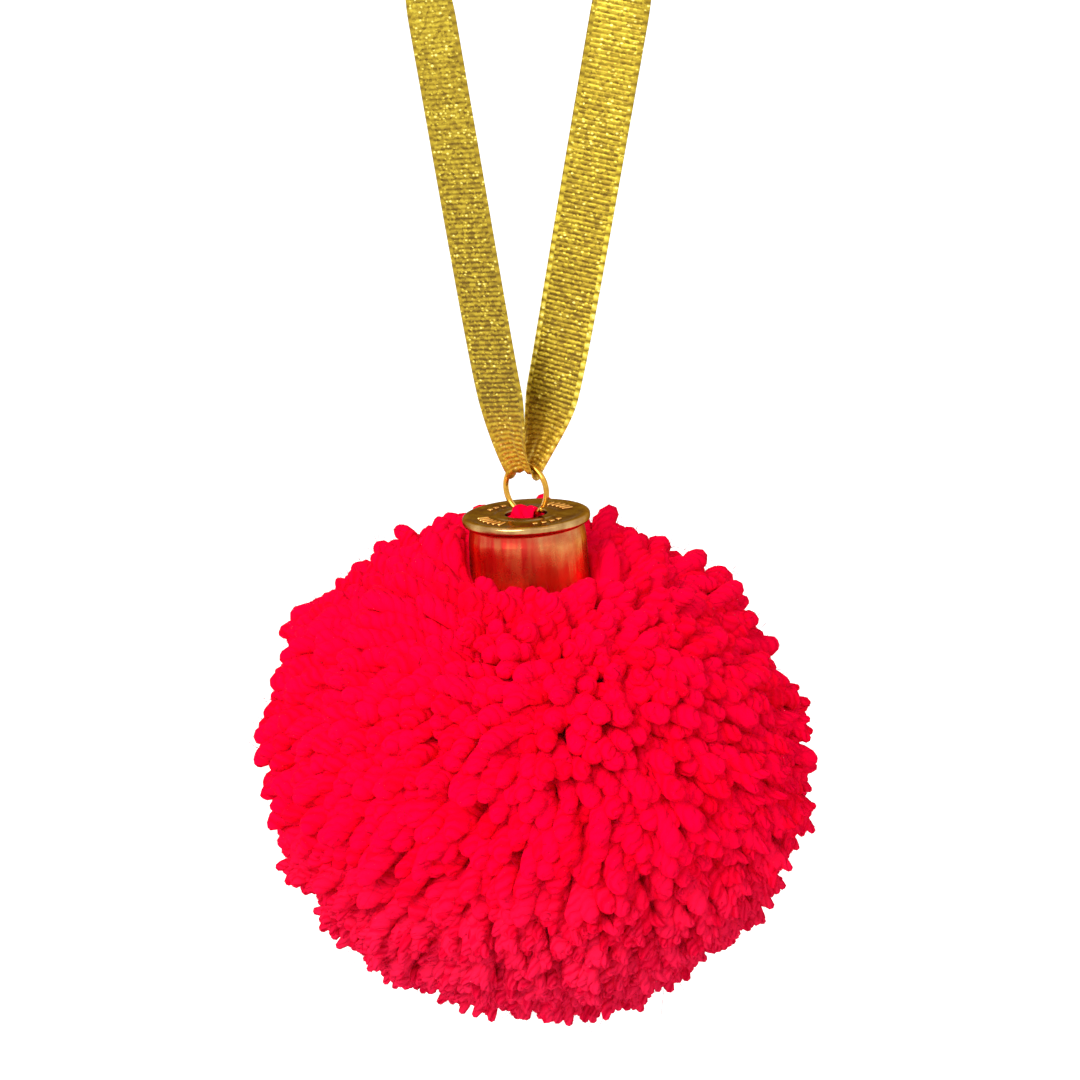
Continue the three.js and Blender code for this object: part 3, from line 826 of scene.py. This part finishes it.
def add_ribbon(lurex, seam, line, steps):
    """The ribbon's outer and inner face along its line, joined at the edges and closed at the cut ends."""
    length = steps[-1]
    rows = int(length / RIB_PITCH * ROWS_PER_RIB)
    way = np.linspace(0, length, rows)
    stations = np.stack([np.interp(way, steps, column) for column in line.T], axis=1)
    share = np.concatenate([-EDGE_PLACES[::-1], FLAT_PLACES, EDGE_PLACES])
    columns = len(share)
    outer = ribbon_skin(stations, way, share, 1)
    inner = ribbon_skin(stations, way, share[1:-1], -1)[:, ::-1]
    skin = np.concatenate([outer, inner], axis=1)
    around = skin.shape[1]
    quads, i, j = grid_faces(rows, around, wrap_columns=True)
    quads, i, j = quads[:, ::-1], i[:, ::-1], j[:, ::-1]

    # Each cut end is closed from its outer edge to its inner edge, with a triangle at either side
    k = np.arange(1, columns - 2)
    end_quads = np.stack([k, k + 1, around - k - 1, around - k], axis=1)
    end_triangles = np.array([[0, 1, around - 1], [columns - 2, columns - 1, columns]])
    last = (rows - 1) * around
    quads = np.concatenate([quads, end_quads, last + end_quads[:, ::-1]])
    triangles = np.concatenate([end_triangles, last + end_triangles[:, ::-1]])
    share_round = np.concatenate([share, share[1:-1][::-1], share[:1]])
    face_uv = np.stack([(share_round[j.ravel()] + 1) / 2, i.ravel() / (rows - 1)], axis=1)
    end_corners = np.concatenate([quads[len(i):].ravel(), triangles.ravel()])
    end_share = share_round[end_corners % around]
    end_uv = np.stack([(end_share + 1) / 2, end_corners // around / (rows - 1)], axis=1)
    piece = make_piece("ribbon_loop", skin, quads, triangles, np.concatenate([face_uv, end_uv]))
    dress(piece, lurex, "hanger", "metallic_ribbon", "hanging_ribbon")


# Materials

def linear(hex_colour):
    """An sRGB hex colour as linear red, green, blue and alpha."""
    parts = [int(hex_colour[k:k + 2], 16) / 255 for k in (1, 3, 5)]
    return tuple(c / 12.92 if c <= 0.04045 else ((c + 0.055) / 1.055) ** 2.4 for c in parts) + (1.0,)


def fill_inputs(tree, node, inputs):
    """Link or set a node's inputs, by name or number. A node among them gives its first output in use."""
    for key, value in inputs.items():
        if isinstance(value, bpy.types.Node):
            value = next(socket for socket in value.outputs if socket.enabled)
        if isinstance(value, bpy.types.NodeSocket):
            tree.links.new(value, node.inputs[key])
        else:
            node.inputs[key].default_value = value


def add_node(tree, kind, inputs=None, stops=(), **settings):
    """Add a shader node with its settings and inputs, and a colour ramp's stops in order, each a place and a
    hex colour."""
    node = tree.nodes.new("ShaderNode" + kind)
    for name, value in settings.items():
        setattr(node, name, value)
    for k, (place, colour) in enumerate(stops):
        elements = node.color_ramp.elements
        element = elements[k] if k < len(elements) else elements.new(place)
        element.position = place
        element.color = linear(colour)
    fill_inputs(tree, node, inputs or {})
    return node


def new_material(name):
    """A material of that name, its node tree and its shader."""
    material = bpy.data.materials.new(name)
    material.use_nodes = True
    tree = material.node_tree
    return material, tree, tree.nodes["Principled BSDF"]


def acrylic_yarn():
    """Bulky acrylic yarn, dyed red and cut: matt and soft, with grooves between its twisted plies and fine
    fibres along them. The grooves are painted a darker red as shade, and lower on the ball the red is painted
    darker and pinker, as shade and haze."""
    material, tree, shader = new_material("acrylic yarn, plied, dyed red")
    uv = add_node(tree, "UVMap", uv_map="Surface")
    tint = add_node(tree, "Attribute", attribute_name="strand_tint").outputs["Fac"]
    low_shade = add_node(tree, "Attribute", attribute_name="painted_low_shade").outputs["Fac"]
    place = add_node(tree, "SeparateXYZ", {"Vector": uv}).outputs
    depth = place["Y"]
    # Plies: rounded ridges that go once round the strand in each pitch, unevenly
    here = add_node(tree, "TexCoord").outputs["Object"]
    uneven = add_node(tree, "TexNoise", {"Vector": here, "Scale": 1 / (PLY_UNEVENNESS * MM), "Detail": 2.0})
    around = add_node(tree, "Math", {0: uneven, 1: 0.5, 2: place["X"]}, operation="MULTIPLY_ADD")
    turns = add_node(tree, "Math", {0: depth, 1: UV_SPAN / PLY_PITCH, 2: around}, operation="MULTIPLY_ADD")
    half_turns = add_node(tree, "Math", {0: turns, 1: PLIES * math.pi}, operation="MULTIPLY")
    wave = add_node(tree, "Math", {0: half_turns}, operation="SINE")
    plies = add_node(tree, "Math", {0: wave}, operation="ABSOLUTE")
    # Fibres lie side by side round the strand, drawn out along the ply, and differ from strand to strand
    fibre_turn = add_node(tree, "Math", {0: turns, 1: STRAND_GIRTH / FIBRE_SPACING}, operation="MULTIPLY")
    fibre_way = add_node(tree, "Math", {0: depth, 1: UV_SPAN / FIBRE_LENGTH}, operation="MULTIPLY")
    fibre_set = add_node(tree, "Math", {0: tint, 1: 900.0}, operation="MULTIPLY")
    fibre_place = add_node(tree, "CombineXYZ", {"X": fibre_turn, "Y": fibre_way, "Z": fibre_set})
    fibres = add_node(tree, "TexNoise", {"Vector": fibre_place, "Scale": 1.0, "Detail": 2.0})
    shade = add_node(tree, "Math", {0: fibres, 1: 0.5, 2: tint}, operation="MULTIPLY_ADD")
    # Painted shade: the grooves between the plies are a darker red in the colour, as well as in the bump
    shade = add_node(tree, "Math", {0: plies, 1: 0.5, 2: shade}, operation="MULTIPLY_ADD")
    upper_red = add_node(tree, "ValToRGB", {"Fac": shade},
                    stops=[(0.3, "#F60022"), (0.7, "#FF0029"), (1.0, "#FF0036")])
    # Painted shade and haze: lower on the ball the red is darker and pinker
    lower_shaded_red = add_node(tree, "ValToRGB", {"Fac": shade},
                     stops=[(0.3, "#D4062E"), (0.7, "#E40A38"), (1.0, "#F41C48")])
    colour = add_node(tree, "Mix", {"Factor": low_shade, "A": upper_red, "B": lower_shaded_red}, data_type="RGBA")
    height = add_node(tree, "Math", {0: fibres, 1: 0.35, 2: plies}, operation="MULTIPLY_ADD")
    bump = add_node(tree, "Bump", {"Height": height, "Strength": 0.9, "Distance": 0.45 * MM})
    fill_inputs(tree, shader, {"Base Color": colour, "Normal": bump, "Roughness": 0.95,
                               "Specular IOR Level": 0.02, "Sheen Weight": 0.6, "Sheen Roughness": 0.4,
                               "Sheen Tint": linear("#FF0030")})
    return material


def drawn_brass():
    """Cartridge brass, drawn: warm polished metal with draw lines up the skirt and brown tarnish on the face,
    which is also painted darker as shade. The raised marks are painted bright, as a highlight, and a red
    reflection of the yarn is painted under the rim, in streaks."""
    material, tree, shader = new_material("cartridge brass, drawn, a little tarnished")
    uv = add_node(tree, "UVMap", uv_map="Surface")
    # Fine draw lines and shallow waves, side by side round the cap
    line_place = add_node(tree, "Mapping", {"Vector": uv, "Scale": (CAP_GIRTH / DRAW_LINE_PITCH, 6.0, 1.0)})
    lines = add_node(tree, "TexNoise", {"Vector": line_place, "Scale": 1.0, "Detail": 2.0})
    wave_place = add_node(tree, "Mapping", {"Vector": uv, "Scale": (CAP_GIRTH / DRAW_WAVE_PITCH, 3.0, 1.0)})
    waves = add_node(tree, "TexNoise", {"Vector": wave_place, "Scale": 1.0, "Detail": 1.0})
    height = add_node(tree, "Math", {0: lines, 1: 0.12, 2: waves}, operation="MULTIPLY_ADD")
    # They are on the skirt, the first 13 mm of the outline
    along = add_node(tree, "SeparateXYZ", {"Vector": uv}).outputs["Y"]
    skirt = add_node(tree, "MapRange", {"Value": along, "From Min": 14 / UV_SPAN, "From Max": 12 / UV_SPAN})
    height = add_node(tree, "Math", {0: height, 1: skirt}, operation="MULTIPLY")
    bump = add_node(tree, "Bump", {"Height": height, "Strength": 0.8, "Distance": 0.3 * MM})
    # Brown tarnish in patches where it isn't polished, the face also painted darker as shade
    here = add_node(tree, "TexCoord").outputs["Object"]
    patches = add_node(tree, "TexNoise", {"Vector": here, "Scale": 1 / (TARNISH_PATCH * MM), "Detail": 5.0,
                                          "Roughness": 0.6})
    polish_and_painted_light = add_node(tree, "Attribute", attribute_name="polish_and_painted_light").outputs["Fac"]
    darkened = add_node(tree, "ValToRGB", {"Fac": patches},
                    stops=[(0.3, "#7A6044"), (0.5, "#A0805A"), (0.7, "#BC9A6E")])
    bright = add_node(tree, "ValToRGB", {"Fac": patches},
                      stops=[(0.3, "#CC8C4A"), (0.5, "#ECAC5C"), (0.7, "#F6C474")])
    colour = add_node(tree, "Mix", {"Factor": polish_and_painted_light, "A": darkened, "B": bright}, data_type="RGBA")
    # Painted red reflection of the yarn under the rim, in streaks
    painted_red_reflection = add_node(tree, "Attribute", attribute_name="painted_red_reflection").outputs["Fac"]
    streaks = add_node(tree, "MapRange", {"Value": waves, "From Min": 0.38, "From Max": 0.55,
                                          "To Min": 0.62, "To Max": 1.0})
    painted_red_reflection = add_node(tree, "Math", {0: painted_red_reflection, 1: streaks}, operation="MULTIPLY")
    colour = add_node(tree, "Mix", {"Factor": painted_red_reflection, "A": colour, "B": linear("#CE342C")}, data_type="RGBA")
    rough = add_node(tree, "MapRange", {"Value": patches, "From Min": 0.3, "From Max": 0.7,
                                        "To Min": 0.28, "To Max": 0.14})
    rough = add_node(tree, "Math", {0: painted_red_reflection, 1: 0.1, 2: rough}, operation="MULTIPLY_ADD")
    fill_inputs(tree, shader, {"Base Color": colour, "Roughness": rough, "Normal": bump, "Metallic": 1.0,
                               "Specular Tint": linear("#9C8878")})
    return material


def gold_plate():
    """Bright gold plate on drawn wire: smooth, with faint rubbed patches where pieces bear on it."""
    material, tree, shader = new_material("gold plate on drawn wire")
    here = add_node(tree, "TexCoord").outputs["Object"]
    rubs = add_node(tree, "TexNoise", {"Vector": here, "Scale": 1 / (RUB_WIDTH * MM), "Detail": 3.0})
    colour = add_node(tree, "ValToRGB", {"Fac": rubs},
                      stops=[(0.35, "#C99236"), (0.55, "#D9A441"), (0.75, "#E4B24E")])
    rough = add_node(tree, "MapRange", {"Value": rubs, "From Min": 0.3, "From Max": 0.7,
                                        "To Min": 0.26, "To Max": 0.14})
    fill_inputs(tree, shader, {"Base Color": colour, "Roughness": rough, "Metallic": 1.0})
    return material


def sewing_thread():
    """Spun polyester thread, gold to match the ribbon."""
    material, tree, shader = new_material("polyester sewing thread, gold")
    fill_inputs(tree, shader, {"Base Color": linear("#C2A03A"), "Roughness": 0.55})
    return material


def woven_lurex(length):
    """Woven metallic thread: flat gold film on ribs across the ribbon, with painted glints thread by thread,
    brown shadow between the ribs and corded edges with painted shine. It is painted darker towards the ring,
    as shade, and brighter and more orange near the fold. The ring is at the middle of the ribbon's length."""
    material, tree, shader = new_material("lurex ribbon, woven gold film")
    uv = add_node(tree, "UVMap", uv_map="Surface")
    place = add_node(tree, "Mapping", {"Vector": uv, "Scale": (RIBBON_WIDTH, length, 1.0)})
    # One bit of film for each thread that it passes over, half a rib long
    bit_place = add_node(tree, "Mapping", {"Vector": place, "Scale": (1 / FILM_WIDTH, 2 / RIB_PITCH, 1.0)})
    bits = add_node(tree, "TexVoronoi", {"Vector": bit_place, "Scale": 1.0, "Randomness": 0.8}).outputs
    chance = add_node(tree, "SeparateColor", {"Color": bits["Color"]}).outputs
    # Painted glints: about one bit in seven is painted bright at its middle, as a highlight
    lucky = add_node(tree, "Math", {0: chance["Green"], 1: 1 - GLINT_SHARE}, operation="GREATER_THAN")
    middle = add_node(tree, "MapRange", {"Value": bits["Distance"], "From Min": 0.6, "From Max": 0.3})
    painted_glint = add_node(tree, "Math", {0: lucky, 1: middle}, operation="MULTIPLY")
    # Ribs with narrow shadows between them, and loops twice as long along the edges
    waves = []
    for pitch in (RIB_PITCH, 2 * RIB_PITCH):
        scale = TURN / (WAVES_IN_TURN * pitch)
        wave = add_node(tree, "TexWave", {"Vector": place, "Scale": scale, "Phase Offset": math.pi},
                        bands_direction="Y", wave_profile="SIN").outputs["Fac"]
        waves.append(add_node(tree, "Math", {0: wave, 1: 0.5}, operation="POWER"))
    ribs, loops = waves
    # Corded edges with painted shine on their loops, most on the strand past the ring, less and less towards
    # its top
    share = add_node(tree, "SeparateXYZ", {"Vector": uv}).outputs
    along = share["Y"]
    shine = add_node(tree, "MapRange", {"Value": along, "From Min": 0.49, "From Max": 0.51,
                                        "To Min": 0.28, "To Max": 0.68})
    fade = add_node(tree, "MapRange", {"Value": along, "From Min": 0.62, "From Max": 0.74,
                                       "To Min": 0.0, "To Max": 0.36})
    shine = add_node(tree, "Math", {0: shine, 1: fade}, operation="SUBTRACT")
    cord_level = add_node(tree, "Math", {0: loops, 1: shine, 2: 0.16}, operation="MULTIPLY_ADD")
    off_middle = add_node(tree, "Math", {0: share["X"], 1: 0.5}, operation="SUBTRACT")
    off_middle = add_node(tree, "Math", {0: off_middle}, operation="ABSOLUTE")
    cord = add_node(tree, "MapRange", {"Value": off_middle, "From Min": 0.40, "From Max": 0.42})
    # Painted shade: darker towards the ring, where the ribs show more, and brighter and more orange near the
    # fold
    from_ring = add_node(tree, "Math", {0: along, 1: 0.5}, operation="SUBTRACT")
    from_ring = add_node(tree, "Math", {0: from_ring}, operation="ABSOLUTE")
    darkened = add_node(tree, "MapRange", {"Value": from_ring, "From Min": 10 / length, "From Max": 95 / length,
                                       "To Min": -0.25, "To Max": 0.15})
    bent = add_node(tree, "MapRange", {"Value": from_ring, "From Min": 2 / length, "From Max": 14 / length,
                                       "To Min": 0.2, "To Max": 0.0})
    rib_weight = add_node(tree, "MapRange", {"Value": from_ring, "From Min": 8 / length,
                                             "From Max": 70 / length, "To Min": 0.46, "To Max": 0.24})
    level = add_node(tree, "Math", {0: darkened, 1: bent}, operation="ADD")
    level = add_node(tree, "Math", {0: ribs, 1: rib_weight, 2: level}, operation="MULTIPLY_ADD")
    level = add_node(tree, "Math", {0: chance["Red"], 1: 0.38, 2: level}, operation="MULTIPLY_ADD")
    level = add_node(tree, "Mix", {"Factor": cord, "A": level, "B": cord_level})
    # Painted highlight: the glints brighten the colour
    level = add_node(tree, "Math", {0: painted_glint, 1: 0.55, 2: level}, operation="MULTIPLY_ADD")
    colour = add_node(tree, "ValToRGB", {"Fac": level},
                      stops=[(0.08, "#6A500C"), (0.40, "#B09424"), (0.72, "#E2CA3E"), (0.98, "#FFF08A")])
    warm = add_node(tree, "Math", {0: bent, 1: 2.2}, operation="MULTIPLY")
    colour = add_node(tree, "Mix", {"Factor": warm, "A": colour, "B": linear("#CE8A1C")}, data_type="RGBA")
    rough = add_node(tree, "MapRange", {"Value": chance["Blue"], "To Min": 0.25, "To Max": 0.5})
    bump = add_node(tree, "Bump", {"Height": chance["Blue"], "Strength": 0.5, "Distance": 0.08 * MM})
    fill_inputs(tree, shader, {"Base Color": colour, "Roughness": rough, "Normal": bump, "Metallic": 0.7})
    return material


# Studio

def put_in_scene(name, data, place, target):
    """Put a lamp or the camera at a place, in millimetres, looking at a target."""
    thing = bpy.data.objects.new(name, data)
    thing.location = Vector(place) * MM
    thing.rotation_euler = (Vector(target) - Vector(place)).to_track_quat("-Z", "Y").to_euler()
    bpy.context.scene.collection.objects.link(thing)
    return thing


def add_lamp(name, kind, place, **settings):
    """A white lamp aimed at the ball. A sun is so far off that its light is even over the whole floor."""
    lamp = bpy.data.lights.new(name, kind)
    for setting, value in settings.items():
        setattr(lamp, setting, value)
    put_in_scene(name, lamp, place, BALL_CENTRE)


def add_floor():
    """A pale floor well below the hanging ball. A little glow towards the camera brings it up to white."""
    material, tree, shader = new_material("pale studio floor")
    ray = add_node(tree, "LightPath").outputs
    glow = add_node(tree, "Math", {0: ray["Is Camera Ray"], 1: FLOOR_GLOW}, operation="MULTIPLY")
    fill_inputs(tree, shader, {"Base Color": linear("#F4F4F4"), "Roughness": 0.9, "Emission Strength": glow,
                               "Emission Color": linear("#FFFFFF")})
    height = CAD_BOX[0][2] / MM - FLOOR_DROP
    points = [[x * FLOOR_HALF, y * FLOOR_HALF, height] for x, y in ((-1, -1), (1, -1), (1, 1), (-1, 1))]
    floor = make_piece("floor", points, [[0, 1, 2, 3]])
    floor.data.materials.append(material)


def set_world():
    """A white room, which the camera, metal and glass see as white, and which lights the rest a bit less."""
    world = bpy.data.worlds.new("white room")
    bpy.context.scene.world = world
    world.use_nodes = True
    tree = world.node_tree
    ray = add_node(tree, "LightPath").outputs
    seen = add_node(tree, "Math", {0: ray["Is Camera Ray"], 1: ray["Is Glossy Ray"]}, operation="MAXIMUM")
    seen = add_node(tree, "Math", {0: seen, 1: ray["Is Transmission Ray"]}, operation="MAXIMUM")
    strength = add_node(tree, "MapRange", {"Value": seen, "To Min": ROOM_LIGHT, "To Max": 1.0})
    fill_inputs(tree, tree.nodes["Background"], {"Color": linear("#FFFFFF"), "Strength": strength})


def add_camera():
    """The photograph's camera, which sees the middle of the cap's face at its pixel in the photograph."""
    camera = bpy.data.cameras.new("camera")
    camera.sensor_fit = "HORIZONTAL"
    camera.angle = 2 * math.atan(PHOTO_SPAN / 2 / CAMERA_DISTANCE)
    right = np.array([1.0, 0.0, 0.0])
    up = np.array([0.0, math.sin(CAMERA_RISE), math.cos(CAMERA_RISE)])
    forward = np.array([0.0, math.cos(CAMERA_RISE), -math.sin(CAMERA_RISE)])
    scale = PHOTO_SPAN / PHOTO_SIZE
    aside = (FACE_PIXEL[0] - PHOTO_SIZE / 2) * scale
    above = (PHOTO_SIZE / 2 - FACE_PIXEL[1]) * scale
    target = FACE_CENTRE - aside * right - above * up
    bpy.context.scene.camera = put_in_scene("camera", camera, target - CAMERA_DISTANCE * forward, target)


yarn = acrylic_yarn()
brass = drawn_brass()
ribbon_stations, ribbon_way = ribbon_line()

add_yarn_core(yarn)
add_yarn_strands(yarn, ("under_yarn_top", "under_yarn_bottom"), UNDER_COUNT, UNDER_SHARE)
strand_lines, strand_lowness = add_yarn_strands(yarn, ("yarn_top", "yarn_bottom"), STRAND_COUNT, 1.0)
add_fuzz(yarn, strand_lines, strand_lowness)
add_frayed_ends(yarn, strand_lines, strand_lowness)
add_tie(yarn)
add_hole_yarn(yarn)
add_cap(brass)
add_face_marks(brass)
add_ring(gold_plate())
add_ribbon(woven_lurex(ribbon_way[-1]), add_seam(sewing_thread()), ribbon_stations, ribbon_way)

add_floor()
set_world()
add_lamp("key", "SUN", KEY_PLACE, angle=KEY_SPREAD, energy=KEY_STRENGTH)
add_lamp("fill", "AREA", FILL_PLACE, shape="DISK", size=FILL_SIZE * MM, energy=FILL_WATTS)
add_camera()

bpy.context.scene.view_settings.view_transform = "Standard"
